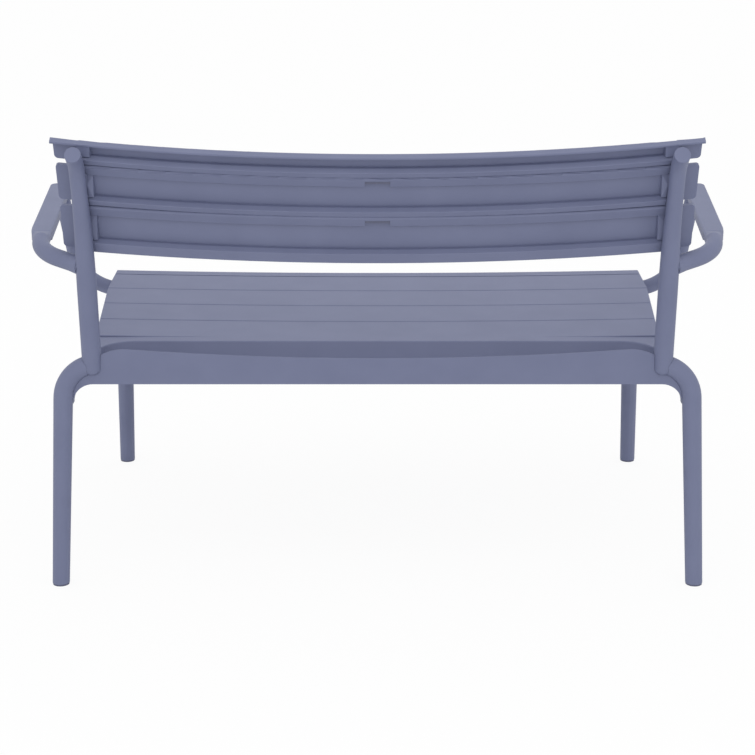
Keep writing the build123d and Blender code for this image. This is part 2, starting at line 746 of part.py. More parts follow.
for index in range(seat_slat_count):
    start = rear_slat_width + seat_slat_gap / 2 + seat_slat_pitch * index
    width = seat_slat_pitch - seat_slat_gap
    middle_y = slat_middle(index)
    with BuildSketch(seat_section) as outer:
        with Locations((start, 0)):
            Rectangle(width, seat_slat_depth, align=(Align.MIN, Align.MAX))
        chamfer(outer.vertices().sort_by(Axis.Y)[-2:], seat_edge_chamfer)
    with BuildSketch(seat_section) as hollow:
        with Locations((start + seat_slat_lip, -seat_slat_skin)):
            Rectangle(width - 2 * seat_slat_lip, seat_slat_depth, align=(Align.MIN, Align.MAX))
    with BuildPart() as seat_slat:
        add(dished(outer.sketch, seat_trim))
        add(dished(hollow.sketch, seat_hollow_trim), mode=Mode.SUBTRACT)
        add(seat_boss(rail_x, rail_width, middle_y))
        add(seat_screw(rail_x, rail_width, middle_y, fit_clearance), mode=Mode.SUBTRACT)
        mirror(about=Plane.YZ)
        add(seat_boss(0.0, centre_rail_width, middle_y))
        add(seat_screw(0.0, centre_rail_width, middle_y, fit_clearance), mode=Mode.SUBTRACT)
    save(seat_slat, f"seat_slat_{seat_slat_count - index}")

# Front slat: rolled over at the front, with a skirt in front of the apron
def dished_roll(section, trim):
    reach = seat_half_width_front + seat_slat_lip
    stations = [Vector(x, 0, 0) + seat_up * (seat_height(x, 0.0) - seat_height(0.0, 0.0))
                for x in (0.0, reach / 2, reach)]
    with BuildPart() as half:
        loft([section.moved(Location(station)) for station in stations])
        add(trim, mode=Mode.INTERSECT)
    return half.part


front_slat_end = front_slat_start + front_slat_width
roll_start = front_slat_end - front_roll_radius
front_inner = front_slat_end - front_skirt_wall
with BuildSketch(seat_section) as outer:
    with BuildLine():
        Polyline((front_slat_start, -seat_slat_depth), (front_slat_start, 0), (roll_start, 0))
        TangentArc((roll_start, 0), (front_slat_end, -front_roll_radius), tangent=(1, 0))
        Polyline((front_slat_end, -front_roll_radius), (front_slat_end, -front_skirt),
                 (front_inner, -front_skirt), (front_inner, -seat_slat_depth),
                 (front_slat_start, -seat_slat_depth))
    make_face()
with BuildSketch(seat_section) as hollow:
    with Locations((front_slat_start + seat_slat_lip, -seat_slat_skin)):
        Rectangle(front_slat_width - seat_slat_lip - front_skirt_wall, seat_slat_depth,
                  align=(Align.MIN, Align.MAX))
with BuildPart() as front_slat:
    add(dished_roll(outer.sketch, seat_trim))
    add(dished_roll(hollow.sketch, seat_hollow_trim), mode=Mode.SUBTRACT)
    with BuildSketch(Plane.XY.offset(seat_height(0.0, front_apron_y, seat_slat_depth))):
        with Locations((seat_half_width_front - front_corner_radius, front_apron_y)):
            Rectangle(front_skirt, 2 * front_skirt, align=(Align.MIN, Align.CENTER))
    extrude(amount=-front_skirt, mode=Mode.SUBTRACT)
    boss_y = front_apron_y - apron_thickness / 2
    boss_length = boss_y - seat_rear_y + front_inner + front_skirt_wall / 2
    for x in (front_screw_inner_x, front_screw_outer_x):
        boss = Vector(x, boss_y, front_apron_top - front_screw_drop)
        add(rod(boss, back * -1, boss_length, screw_boss_diameter))
        add(front_slat_screw(x, fit_clearance), mode=Mode.SUBTRACT)
    mirror(about=Plane.YZ)
save(front_slat, "front_seat_slat")

# Seat rails
with BuildPart() as seat_rail:
    add(rail_bar(rail_x, rail_width, side_rail_front_y, True, 0.0))
    add(post_cutter, mode=Mode.SUBTRACT)
    add(front_leg_cutter, mode=Mode.SUBTRACT)
    add(tenon(rail_x, rail_width, rail_rear_y, 1, 0.0))
    add(tenon(rail_x, rail_width, side_tenon_y, -1, 0.0))
    for y in seat_screw_rows:
        add(seat_screw(rail_x, rail_width, y, fit_clearance), mode=Mode.SUBTRACT)
save_pair(seat_rail, "seat_rail")

with BuildPart() as centre_rail:
    add(rail_bar(0.0, centre_rail_width, centre_rail_front_y, False, 0.0))
    add(tenon(0.0, centre_rail_width, centre_rail_front_y, -1, 0.0))
    for y in seat_screw_rows:
        add(seat_screw(0.0, centre_rail_width, y, fit_clearance), mode=Mode.SUBTRACT)
save(centre_rail, "centre_seat_rail")

# Rear slat: flat, with ears that sweep back to the posts and a deep skirt
with BuildPart() as rear_slat:
    flare = (seat_half_width_front - seat_edge_rear_x) / (seat_rear_y - seat_flare_end_y)
    front = -rear_slat_width - seat_slat_gap / 4
    hollow_front = front + seat_slat_lip
    hollow_x = seat_edge_rear_x - flare * hollow_front - seat_slat_lip
    ear = rear_ear_tip_y - seat_rear_y
    tip_x = seat_edge_rear_x - flare * ear
    ear_x = tip_x - rear_ear_width
    arc_x = ear_x - rear_ear_radius
    top = Plane(seat_origin + seat_up * rear_slat_rise, x_dir=left, z_dir=seat_up)
    with BuildSketch(top):
        with BuildLine():
            Line((0, 0), (arc_x, 0))
            TangentArc((arc_x, 0), (ear_x, rear_ear_radius), tangent=(1, 0))
            Polyline((ear_x, rear_ear_radius), (ear_x, ear), (tip_x, ear),
                     (seat_edge_rear_x - flare * front, front), (0, front), (0, 0))
        make_face()
    extrude(amount=-rear_skirt)
    with BuildSketch(top.offset(-seat_slat_skin)):
        with BuildLine():
            Polyline((0, hollow_front), (hollow_x, hollow_front), (tip_x - seat_slat_lip, ear), (0, ear),
                     close=True)
        make_face()
        with Locations((arc_x, rear_ear_radius)):
            Circle(rear_ear_radius + rear_skirt_wall, mode=Mode.SUBTRACT)
        with Locations((0, -rear_skirt_wall)):
            Rectangle(arc_x, ear + 2 * rear_skirt_wall, align=(Align.MIN, Align.MIN), mode=Mode.SUBTRACT)
    extrude(amount=-rear_skirt, mode=Mode.SUBTRACT)
    with BuildSketch(top.offset(-seat_slat_depth)):
        with Locations((0, -rear_skirt_wall)):
            Rectangle(seat_half_width_front, rear_slat_width, align=(Align.MIN, Align.MAX))
    extrude(amount=-rear_skirt, mode=Mode.SUBTRACT)
    mirror(about=Plane.YZ)
    rim = rear_slat.faces().sort_by(Axis.Z)[-1].outer_wire().edges()
    fillet(rim.filter_by_position(Axis.Y, seat_rear_y - rear_slat_width / 2, rear_foot_y), rear_slat_round)
    for x, width in ((rail_x, rail_width), (0.0, centre_rail_width), (-rail_x, rail_width)):
        add(rail_bar(x, width, centre_rail_front_y, x != 0, cope_clearance), mode=Mode.SUBTRACT)
        add(seat_boss(x, width, rear_boss_y))
        add(seat_screw(x, width, rear_boss_y, fit_clearance), mode=Mode.SUBTRACT)
save(rear_slat, "rear_seat_slat")

# Arms
with BuildPart() as arm_rest:
    with BuildSketch(rest_floor) as pad:
        Rectangle(arm_rest_length, arm_rest_width, align=(Align.MIN, Align.CENTER))
        fillet(pad.vertices().sort_by(Axis.X)[-2:], arm_rest_corner)
    extrude(amount=arm_rest_height)
    fillet(arm_rest.faces().sort_by(Axis.Z)[-1].edges().sort_by_distance(rest_rear)[1:], arm_rest_round)
    add(rest_tongue(fit_clearance), mode=Mode.SUBTRACT)
    add(rest_screw(fit_clearance), mode=Mode.SUBTRACT)
    add(rod(front_arm_top, rest_up, front_arm_peg_length + fit_clearance,
            front_arm_peg_diameter + 2 * fit_clearance), mode=Mode.SUBTRACT)
save_pair(arm_rest, "arm_rest")

with BuildPart() as rear_arm:
    with BuildLine() as path:
        FilletPolyline(arm_joint, arm_knee, arm_flat_start, radius=arm_bend_radius)
    arm_line = path.wire()
    with BuildSketch(Plane(arm_joint, z_dir=arm_start)):
        Circle(arm_diameter / 2)
    sweep(path=arm_line)
    with BuildSketch(Plane(arm_flat_start, x_dir=rest_across, z_dir=arm_line % 1)):
        Circle(arm_diameter / 2)
    with BuildSketch(Plane(rest_rear, x_dir=rest_across, z_dir=rest_ahead)):
        RectangleRounded(arm_rest_width, arm_rest_height, arm_rest_round)
    loft()
    collar_root = arm_joint + arm_start * (post_base_diameter / 2 - arm_collar_length / 2)
    with BuildSketch(Plane(collar_root, z_dir=arm_start)):
        Circle(arm_collar_diameter / 2)
    with BuildSketch(Plane(collar_root + arm_start * (1.5 * arm_collar_length), z_dir=arm_start)):
        Circle(arm_diameter / 2)
    loft()
    add(post_cutter, mode=Mode.SUBTRACT)
    add(arm_spigot(0.0))
    add(rest_tongue(0.0))
    add(rest_screw(fit_clearance), mode=Mode.SUBTRACT)
save_pair(rear_arm, "rear_arm_tube")

with BuildPart() as front_arm:
    front_arm_rise = (front_arm_top - front_arm_knee).normalized()
    front_arm_start = front_arm_top + front_arm_rise * front_arm_diameter
    with BuildLine() as path:
        FilletPolyline(front_arm_start, front_arm_knee, front_arm_foot, radius=front_arm_bend_radius)
    with BuildSketch(Plane(front_arm_start, z_dir=front_arm_rise * -1)):
        Circle(front_arm_diameter / 2)
    sweep(path=path.wire())
    split(bisect_by=rest_floor, keep=Keep.BOTTOM)
    add(front_leg_cutter, mode=Mode.SUBTRACT)
    add(front_arm_spigot(0.0))
    add(rod(front_arm_top - rest_up * front_arm_peg_length, rest_up, 2 * front_arm_peg_length,
            front_arm_peg_diameter))
save_pair(front_arm, "front_arm_tube")

# Screws, one group for each place they are used
with BuildPart() as seat_screws:
    for y in seat_screw_rows:
        for x, width in ((rail_x, rail_width), (0.0, centre_rail_width), (-rail_x, rail_width)):
            add(seat_screw(x, width, y, 0.0))
save(seat_screws, "seat_screws")

with BuildPart() as frame_screws:
    add(tongue_screw(rear_leg_line, rear_socket_x, rear_apron_bottom, 0.0))
    add(tongue_screw(front_leg_line, front_socket_x, front_apron_bottom, 0.0))
    for x in (front_screw_inner_x, front_screw_outer_x):
        add(front_slat_screw(x, 0.0))
    mirror(about=Plane.YZ)
save(frame_screws, "frame_screws")

with BuildPart() as arm_screws:
    add(rest_screw(0.0))
    mirror(about=Plane.YZ)
save(arm_screws, "arm_screws")
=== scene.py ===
import json
import math

import bmesh
import bpy
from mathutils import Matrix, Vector


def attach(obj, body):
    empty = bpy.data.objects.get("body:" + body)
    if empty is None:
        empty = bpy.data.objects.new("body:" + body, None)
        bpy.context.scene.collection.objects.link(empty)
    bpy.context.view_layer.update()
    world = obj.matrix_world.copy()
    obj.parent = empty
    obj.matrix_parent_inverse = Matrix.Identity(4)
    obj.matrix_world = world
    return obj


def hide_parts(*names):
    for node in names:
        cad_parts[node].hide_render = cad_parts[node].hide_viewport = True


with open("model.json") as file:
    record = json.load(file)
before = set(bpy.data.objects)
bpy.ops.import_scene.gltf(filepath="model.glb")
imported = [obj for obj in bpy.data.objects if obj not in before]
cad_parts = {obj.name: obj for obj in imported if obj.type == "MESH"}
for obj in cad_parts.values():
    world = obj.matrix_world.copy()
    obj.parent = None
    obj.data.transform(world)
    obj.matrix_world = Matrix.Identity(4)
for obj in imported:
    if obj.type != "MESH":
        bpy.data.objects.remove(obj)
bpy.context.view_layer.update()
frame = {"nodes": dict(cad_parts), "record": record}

scene = bpy.context.scene
scene.view_settings.view_transform = "Standard"
print("frame loaded:", len(frame["nodes"]), "CAD nodes")


def linear(hexText):  # sRGB hex to the linear colour that the sockets take
    parts = [int(hexText[i:i + 2], 16) / 255 for i in (1, 3, 5)]
    return [c / 12.92 if c <= 0.04045 else ((c + 0.055) / 1.055) ** 2.4 for c in parts] + [1.0]


def perMetre(millimetres):  # texture scale for features of a real size
    return 1000.0 / millimetres


def addNode(tree, kind, settings, links):  # one node, its settings, and what feeds its sockets
    node = tree.nodes.new(kind)
    for key, value in settings.items():
        if key in node.inputs:
            node.inputs[key].default_value = value
        else:
            setattr(node, key, value)
    for key, source in links.items():
        tree.links.new(source, node.inputs[key])
    return node


def newMaterial(name):
    material = bpy.data.materials.new(name)
    material.use_nodes = True
    material.node_tree.nodes.clear()
    return material, material.node_tree


# Glass-filled polypropylene, injection moulded and mass coloured: an even matte blue-grey whose
# fine spark-eroded grain spreads the highlights, with faint cloudy flow marks in the colour.
benchPlastic = {
    "colour": "#6D7390",
    "paleFlow": "#6F7592",
    "darkFlow": "#6B718E",
    "flowSize": 60.0,  # mm, length of a flow mark
    "flowDetail": 3.0,
    "flowStops": (0.3, 0.5, 0.7),  # dark, plain and pale along the ramp
    "grainSize": 1.6,  # mm, coarser than the real 0.2 so that it shows in the render
    "grainDetail": 2.0,
    "grainDepth": 0.00003,  # m
    "grainStrength": 0.25,
    "roughness": 0.58,
    "roughnessSpread": 0.08,
    "ior": 1.49,
}


def makeBenchPlastic(v):
    material, tree = newMaterial("glassFilledPolypropyleneMoulded")
    place = addNode(tree, "ShaderNodeTexCoord", {}, {})
    flow = addNode(tree, "ShaderNodeTexNoise",
                   {"Scale": perMetre(v["flowSize"]), "Detail": v["flowDetail"]},
                   {"Vector": place.outputs["Object"]})
    tint = addNode(tree, "ShaderNodeValToRGB", {}, {"Fac": flow.outputs["Fac"]})
    ramp = tint.color_ramp.elements
    darkStop, plainStop, paleStop = v["flowStops"]
    ramp[0].color = linear(v["darkFlow"])
    ramp[0].position = darkStop
    ramp[1].color = linear(v["paleFlow"])
    ramp[1].position = paleStop
    ramp.new(plainStop).color = linear(v["colour"])
    grain = addNode(tree, "ShaderNodeTexNoise",
                    {"Scale": perMetre(v["grainSize"]), "Detail": v["grainDetail"]},
                    {"Vector": place.outputs["Object"]})
    gloss = addNode(tree, "ShaderNodeMapRange",
                    {"To Min": v["roughness"] - v["roughnessSpread"],
                     "To Max": v["roughness"] + v["roughnessSpread"]},
                    {"Value": grain.outputs["Fac"]})
    bump = addNode(tree, "ShaderNodeBump", {"Strength": v["grainStrength"], "Distance": v["grainDepth"]},
                   {"Height": grain.outputs["Fac"]})
    surface = addNode(tree, "ShaderNodeBsdfPrincipled", {"IOR": v["ior"], "Metallic": 0.0},
                      {"Base Color": tint.outputs["Color"], "Roughness": gloss.outputs["Result"],
                       "Normal": bump.outputs["Normal"]})
    addNode(tree, "ShaderNodeOutputMaterial", {}, {"Surface": surface.outputs["BSDF"]})
    return material


# Polyethylene of the foot glides, moulded: waxy, darker than the bench, and scuffed. The slat tabs take it
# too, as painted shade: their darker colour stands for the shade in the slots they sit in.
glideAndTabShadePlastic = {
    "colour": "#585C74",
    "scuff": "#666A80",
    "scuffSize": 3.0,  # mm
    "scuffDetail": 4.0,
    "scuffFrom": 0.5,  # where along the ramp the scuffing starts
    "roughness": 0.5,
    "ior": 1.51,
}


def makeGlideAndTabShadePlastic(v):
    material, tree = newMaterial("polyethyleneGlideAndPaintedTabShade")
    place = addNode(tree, "ShaderNodeTexCoord", {}, {})
    scuff = addNode(tree, "ShaderNodeTexNoise",
                    {"Scale": perMetre(v["scuffSize"]), "Detail": v["scuffDetail"]},
                    {"Vector": place.outputs["Object"]})
    tint = addNode(tree, "ShaderNodeValToRGB", {}, {"Fac": scuff.outputs["Fac"]})
    ramp = tint.color_ramp.elements
    ramp[0].color = linear(v["colour"])
    ramp[0].position = v["scuffFrom"]
    ramp[1].color = linear(v["scuff"])
    surface = addNode(tree, "ShaderNodeBsdfPrincipled", {"IOR": v["ior"], "Roughness": v["roughness"]},
                      {"Base Color": tint.outputs["Color"]})
    addNode(tree, "ShaderNodeOutputMaterial", {}, {"Surface": surface.outputs["BSDF"]})
    return material


# Stainless steel, cold formed and tumbled: dull bright heads with fine random scratches.
screwSteel = {
    "colour": "#B9BABC",
    "scratchSize": 0.8,  # mm, coarser than real scratches so that they show in the render
    "scratchDetail": 3.0,
    "roughness": 0.38,
    "roughnessSpread": 0.08,
}


def makeScrewSteel(v):
    material, tree = newMaterial("stainlessSteelTumbled")
    place = addNode(tree, "ShaderNodeTexCoord", {}, {})
    scratch = addNode(tree, "ShaderNodeTexNoise",
                      {"Scale": perMetre(v["scratchSize"]), "Detail": v["scratchDetail"]},
                      {"Vector": place.outputs["Object"]})
    gloss = addNode(tree, "ShaderNodeMapRange",
                    {"To Min": v["roughness"] - v["roughnessSpread"],
                     "To Max": v["roughness"] + v["roughnessSpread"]},
                    {"Value": scratch.outputs["Fac"]})
    surface = addNode(tree, "ShaderNodeBsdfPrincipled",
                      {"Base Color": linear(v["colour"]), "Metallic": 1.0},
                      {"Roughness": gloss.outputs["Result"]})
    addNode(tree, "ShaderNodeOutputMaterial", {}, {"Surface": surface.outputs["BSDF"]})
    return material


finishes = {"moulding": makeBenchPlastic(benchPlastic), "glide": makeGlideAndTabShadePlastic(glideAndTabShadePlastic),
            "screw": makeScrewSteel(screwSteel)}
slotOfNode = {row["node"]: row["material_slot"] for row in frame["record"]["subparts"]}
for name, piece in frame["nodes"].items():
    piece.data.materials.clear()
    piece.data.materials.append(finishes[slotOfNode[name]])
print("finishes on", len(slotOfNode), "nodes")


def portion(value):  # a share kept between nothing and all
    return min(max(value, 0.0), 1.0)


def smoothStep(low, high, value):
    share = portion((value - low) / (high - low))
    return share * share * (3.0 - 2.0 * share)


# Mesh work on copies of CAD nodes: metres, and degrees for the angle above which an edge stays sharp
meshWork = {"weld": 0.00001, "onPlane": 0.0000001, "roundCuts": 3, "sharpFrom": 28.0}


def standFor(name, nodeName, mesh, finish):  # a piece of the scene's own in the place of a CAD node
    mesh.materials.clear()
    mesh.materials.append(finishes[finish])
    piece = bpy.data.objects.new(name, mesh)
    scene.collection.objects.link(piece)
    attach(piece, "root")
    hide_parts(nodeName)
    return piece


def restyle(name, nodeName, work):  # a rebuilt form, smooth but for its sharp edges
    mesh = bpy.data.meshes.new(name)
    work.to_mesh(mesh)
    work.free()
    mesh.polygons.foreach_set("use_smooth", [True] * len(mesh.polygons))
    mesh.set_sharp_from_angle(angle=math.radians(meshWork["sharpFrom"]))
    piece = standFor(name, nodeName, mesh, slotOfNode[nodeName])
    piece.modifiers.new("evenShading", "WEIGHTED_NORMAL").keep_sharp = True


def nodeMesh(nodeName, cuts):  # a welded copy of a node, with extra loops where its form bends
    work = bmesh.new()
    work.from_mesh(frame["nodes"][nodeName].data)
    bmesh.ops.remove_doubles(work, verts=work.verts, dist=meshWork["weld"])
    for place, normal in cuts:
        bmesh.ops.bisect_plane(work, geom=[*work.verts, *work.edges, *work.faces],
                               dist=meshWork["onPlane"], plane_co=place, plane_no=normal)
    return work


def refine(mesh, onRound):  # long facets of a round are divided and set on its true curve
    work = bmesh.new()
    work.from_mesh(mesh)
    kept = work.loops.layers.float_vector.new("trueNormal")
    normals = iter([corner.vector.copy() for corner in mesh.corner_normals])
    for face in work.faces:
        for loop in face.loops:
            loop[kept] = next(normals)
    chords = [edge for edge in work.edges if all(onRound(vert.co) is not None for vert in edge.verts)]
    bmesh.ops.subdivide_edges(work, edges=chords, cuts=meshWork["roundCuts"], use_grid_fill=True)
    for vert in work.verts:
        vert.co = onRound(vert.co) or vert.co
    work.to_mesh(mesh)
    work.free()
    mesh.update()
    normals = [corner.vector.normalized() for corner in mesh.attributes["trueNormal"].data]
    mesh.normals_split_custom_set(normals)
    mesh.attributes.remove(mesh.attributes["trueNormal"])


# A copy of a node with some vertices moved: move gives a vertex its new place, or None to leave it
def remould(name, nodeName, finish, move, onRound=None):
    mesh = frame["nodes"][nodeName].data.copy()
    mesh.name = name
    if onRound:
        refine(mesh, onRound)
    normals = [corner.vector.copy() for corner in mesh.corner_normals]
    moved = set()
    for vert in mesh.vertices:
        place = move(vert.co)
        if place is not None:
            vert.co = place
            moved.add(vert.index)
    mesh.update()
    for face in mesh.polygons:  # faces that turned take their new normals, the rest keep the true ones
        if any(index in moved for index in face.vertices):
            for corner in face.loop_indices:
                normals[corner] = face.normal.copy()
    mesh.normals_split_custom_set(normals)
    standFor(name, nodeName, mesh, finish)


# Back slats, in metres in each slat's section: rise goes up the slat, depth goes in from its rear face.
# The lower lips stand out at their upper edge, so that their faces turn down into shade, and hang a little
# lower, which closes the gap to the slat below. The upper lips get a rolled crest, over a face that
# turns down.
backSlats = {
    "bowRadius": 2.567,
    "base": (0.2819, 0.5396),  # y and z of the rear lower edge of the bottom slat
    "gap": 0.007,
    # lower lips
    "lipReach": 0.006, "lipBevel": 0.0023, "lipOut": 0.0022, "lipSink": 0.0014, "lipDrop": 0.0008,
    # flange of the top slat, set forward
    "flangeReach": 0.009, "flangeSet": 0.003,
    # crests of the upper lips, and the faces below them
    "crestReach": 0.0045, "crestTop": 0.006, "crestRound": 0.0009,
    "crestOut": 0.0025, "crestDrop": 0.003, "crestRise": 0.0014,
    "faceReach": 0.003, "faceFoot": 0.0035, "faceLow": 0.0064, "faceIn": 0.0055, "faceDown": 0.006,
    # rounds of the front edges, made finer between -frontReach and frontReach in x
    "frontRound": 0.005, "frontDepth": 0.02, "frontReach": 0.45,
    # tabs in the slots at mid length
    "tabReach": 0.015, "tabOut": 0.0085, "tabDrop": 0.0045, "tabFoot": 0.001,
    "slack": 0.00005,
    "rows": [  # from the bottom up; frontFrom is the depth at which the upper front round starts
        {"node": "bottom_back_slat", "lean": 14.0, "height": 0.0724, "lip": 0.0185, "flange": 0.0,
         "frontFrom": 0.018, "tab": "lower_slat_spacer"},
        {"node": "middle_back_slat", "lean": 17.5, "height": 0.0609, "lip": 0.011, "flange": 0.0,
         "frontFrom": 0.018, "tab": "upper_slat_spacer"},
        {"node": "top_back_slat", "lean": 21.0, "height": 0.0333, "lip": 0.011, "flange": 0.0045,
         "frontFrom": 0.015},
    ],
}


def slatAxes(lean):  # up the slat, and ahead through it
    tilt = math.radians(lean)
    return Vector((0.0, math.sin(tilt), math.cos(tilt))), Vector((0.0, -math.cos(tilt), math.sin(tilt)))


def makeSlat(v, row, corner):
    up, ahead = slatAxes(row["lean"])
    axisPoint = corner + ahead * v["bowRadius"]

    def inSection(point):
        out = point - axisPoint
        rise = out.dot(up)
        out -= up * rise
        return rise, v["bowRadius"] - out.length, out.normalized()

    def shapeLips(point):
        rise, depth, outward = inSection(point)
        below = row["height"] - rise
        if rise < row["lip"] + v["lipBevel"] and depth < v["lipReach"]:
            share = portion(rise / row["lip"])
            near = 1.0 - max(depth, 0.0) / v["lipReach"]
            sink = v["lipDrop"] + (v["lipSink"] * near - v["lipDrop"]) * share
            return point + outward * v["lipOut"] * share * near - up * sink
        if row["flange"]:
            inFlange = below < row["flange"] and depth < v["flangeReach"]
            return point - outward * v["flangeSet"] if inFlange else None
        crest = v["crestTop"] + below
        if crest < v["crestRound"] + v["slack"]:
            turn = portion(crest / v["crestRound"]) * math.pi / 2 if depth < v["crestReach"] else 0.0
            return (point + outward * v["crestOut"] * math.sin(turn)
                    + up * (v["crestRise"] - v["crestDrop"] * (1.0 - math.cos(turn))))
        if depth < v["faceReach"] and below < v["faceLow"]:
            faceRun = v["faceFoot"] + v["crestTop"] - v["crestRound"]
            share = portion((v["faceFoot"] - below) / faceRun)
            return (point + outward * (v["crestOut"] * share - v["faceIn"] * (1.0 - share))
                    - up * ((v["crestDrop"] - v["crestRise"]) * share + v["faceDown"] * (1.0 - share)))
        return None

    def onFrontRound(point):  # the place on the true round of a front edge, or None away from it
        rise, depth, outward = inSection(point)
        upper = rise >= row["height"] / 2
        middle = row["height"] - v["frontRound"] if upper else v["frontRound"]
        axisDepth = v["frontDepth"] - v["frontRound"]
        start = row["frontFrom"] if upper else axisDepth
        past = middle - rise if upper else rise - middle
        if abs(point.x) > v["frontReach"] or past > v["slack"] or depth < start - v["slack"]:
            return None
        spread = math.hypot(rise - middle, depth - axisDepth)
        if spread < v["frontRound"] / 2:
            return None
        grow = v["frontRound"] / spread
        newRise = middle + (rise - middle) * grow
        newDepth = axisDepth + (depth - axisDepth) * grow
        return axisPoint + up * newRise + outward * (v["bowRadius"] - newDepth)

    def drawTab(point):  # the tab comes out flush with the upper lip and reaches down its slot
        rise, depth, outward = inSection(point)
        if depth > v["tabReach"]:
            return None
        drop = v["tabDrop"] if rise < row["height"] + v["tabFoot"] else 0.0
        return point + outward * v["tabOut"] - up * drop

    remould(row["node"] + "_moulded", row["node"], slotOfNode[row["node"]], shapeLips, onFrontRound)
    if "tab" in row:
        # the tabs take the darker glide finish as painted shade, standing for the shade in their slots
        remould(row["tab"] + "_flushInPaintedShade", row["tab"], "glide", drawTab)


def makeSlats(v):
    corner = Vector((0.0, *v["base"]))
    for index, row in enumerate(v["rows"]):
        makeSlat(v, row, corner)
        if index + 1 < len(v["rows"]):
            between = (row["lean"] + v["rows"][index + 1]["lean"]) / 2
            corner += slatAxes(row["lean"])[0] * row["height"] + slatAxes(between)[0] * v["gap"]


makeSlats(backSlats)
print("back slats shaped")

# Rear seat slat: its skirt runs back a little towards the apron, so that its upper part takes the light
rearSkirt = {
    "node": "rear_seat_slat", "topZ": 0.3745, "wallY": 0.1385,
    "draft": 0.3,  # run back for each metre down
    "fadeFrom": 0.15, "fadeTo": 0.19,  # y over which the draft dies out towards the posts
}


def makeRearSkirt(v):
    def drawBack(point):
        if point.y < v["wallY"] or point.z > v["topZ"]:
            return None
        fade = 1.0 - smoothStep(v["fadeFrom"], v["fadeTo"], point.y)
        return point + Vector((0.0, (v["topZ"] - point.z) * v["draft"] * fade, 0.0))

    remould(v["node"] + "_drafted", v["node"], slotOfNode[v["node"]], drawBack)


makeRearSkirt(rearSkirt)
print("rear seat slat shaped")

# Back posts: one smooth taper from the rounded foot to the bent end, with no swelling at the knee
backPost = {
    "x": 0.461, "sides": 48, "rings": 80,
    "line": [(0.2338, 0.3455), (0.25225, 0.527), (0.25793, 0.58289), (0.2783, 0.65577), (0.29331, 0.70083),
             (0.32016, 0.71633)],  # y and z of the bends in the centre line
    "footRadius": 0.01575, "topRadius": 0.0126, "taperStart": 0.36, "taperEnd": 0.84,
    "footRound": 0.011, "footRings": 8,
}


def smoothLine(points, count):  # points of a quadratic spline that starts and ends at the line's ends
    holder = bpy.data.curves.new("line", "CURVE")
    holder.dimensions = "3D"
    holder.resolution_u = count
    spline = holder.splines.new("NURBS")
    spline.points.add(len(points) - 1)
    for knot, point in zip(spline.points, points):
        knot.co = (*point, 1.0)
    spline.order_u = 3
    spline.use_endpoint_u = True
    carrier = bpy.data.objects.new("line", holder)
    mesh = bpy.data.meshes.new_from_object(carrier)
    line = [vert.co.copy() for vert in mesh.vertices]
    bpy.data.meshes.remove(mesh)
    bpy.data.objects.remove(carrier)
    bpy.data.curves.remove(holder)
    return line


def makePost(v, nodeName, side):
    spans = len(v["line"]) - 2
    line = smoothLine([(side * v["x"], y, z) for y, z in v["line"]], v["rings"] // spans)
    steps = [0.0]
    for near, far in zip(line, line[1:]):
        steps.append(steps[-1] + (far - near).length)
    rings = []
    footAxis = (line[1] - line[0]).normalized()
    for index in range(v["footRings"]):
        turn = math.pi / 2 * index / v["footRings"]
        rings.append((line[0] + footAxis * v["footRound"] * (1.0 - math.cos(turn)), footAxis,
                      v["footRadius"] - v["footRound"] * (1.0 - math.sin(turn))))
    for index, point in enumerate(line):
        if steps[index] < v["footRound"]:
            continue
        axis = (line[min(index + 1, len(line) - 1)] - line[max(index - 1, 0)]).normalized()
        fall = smoothStep(v["taperStart"], v["taperEnd"], steps[index] / steps[-1])
        rings.append((point, axis, v["footRadius"] + (v["topRadius"] - v["footRadius"]) * fall))
    work = bmesh.new()
    loops = []
    across = Vector((1.0, 0.0, 0.0))
    for centre, axis, radius in rings:
        along = axis.cross(across).normalized()
        loops.append([work.verts.new(centre + (across * math.cos(turn) + along * math.sin(turn)) * radius)
                      for turn in (2 * math.pi * n / v["sides"] for n in range(v["sides"]))])
    for low, high in zip(loops, loops[1:]):
        for n in range(v["sides"]):
            m = (n + 1) % v["sides"]
            work.faces.new((low[n], low[m], high[m], high[n]))
    work.faces.new(loops[0][::-1])
    work.faces.new(loops[-1])
    restyle(nodeName + "_tapered", nodeName, work)


makePost(backPost, "left_back_post", 1.0)
makePost(backPost, "right_back_post", -1.0)
print("posts shaped")

# Arms: the collar at the post is drawn in to a slight flare, and the rear outer corner of the arm rest
# runs into the tube in one soft curve
armShape = {
    "joint": (0.461, 0.25225, 0.527),  # where the tube's line meets the post's
    "start": (0.8494, -0.50748, 0.14485),  # the tube's direction there
    "tubeRadius": 0.014,
    "collarReach": 0.045, "collarRange": 0.06, "collarShare": 0.3,
    "restRear": (0.5525, 0.13, 0.5505),  # middle of the arm rest's rear end
    "ahead": (0.07843, -0.99653, 0.02792),  # the arm rest's direction
    "halfWidth": 0.018, "tubeHalf": 0.010, "endHalf": 0.0145,
    "tubeRun": 0.03, "restRun": 0.045, "loops": 6,
}


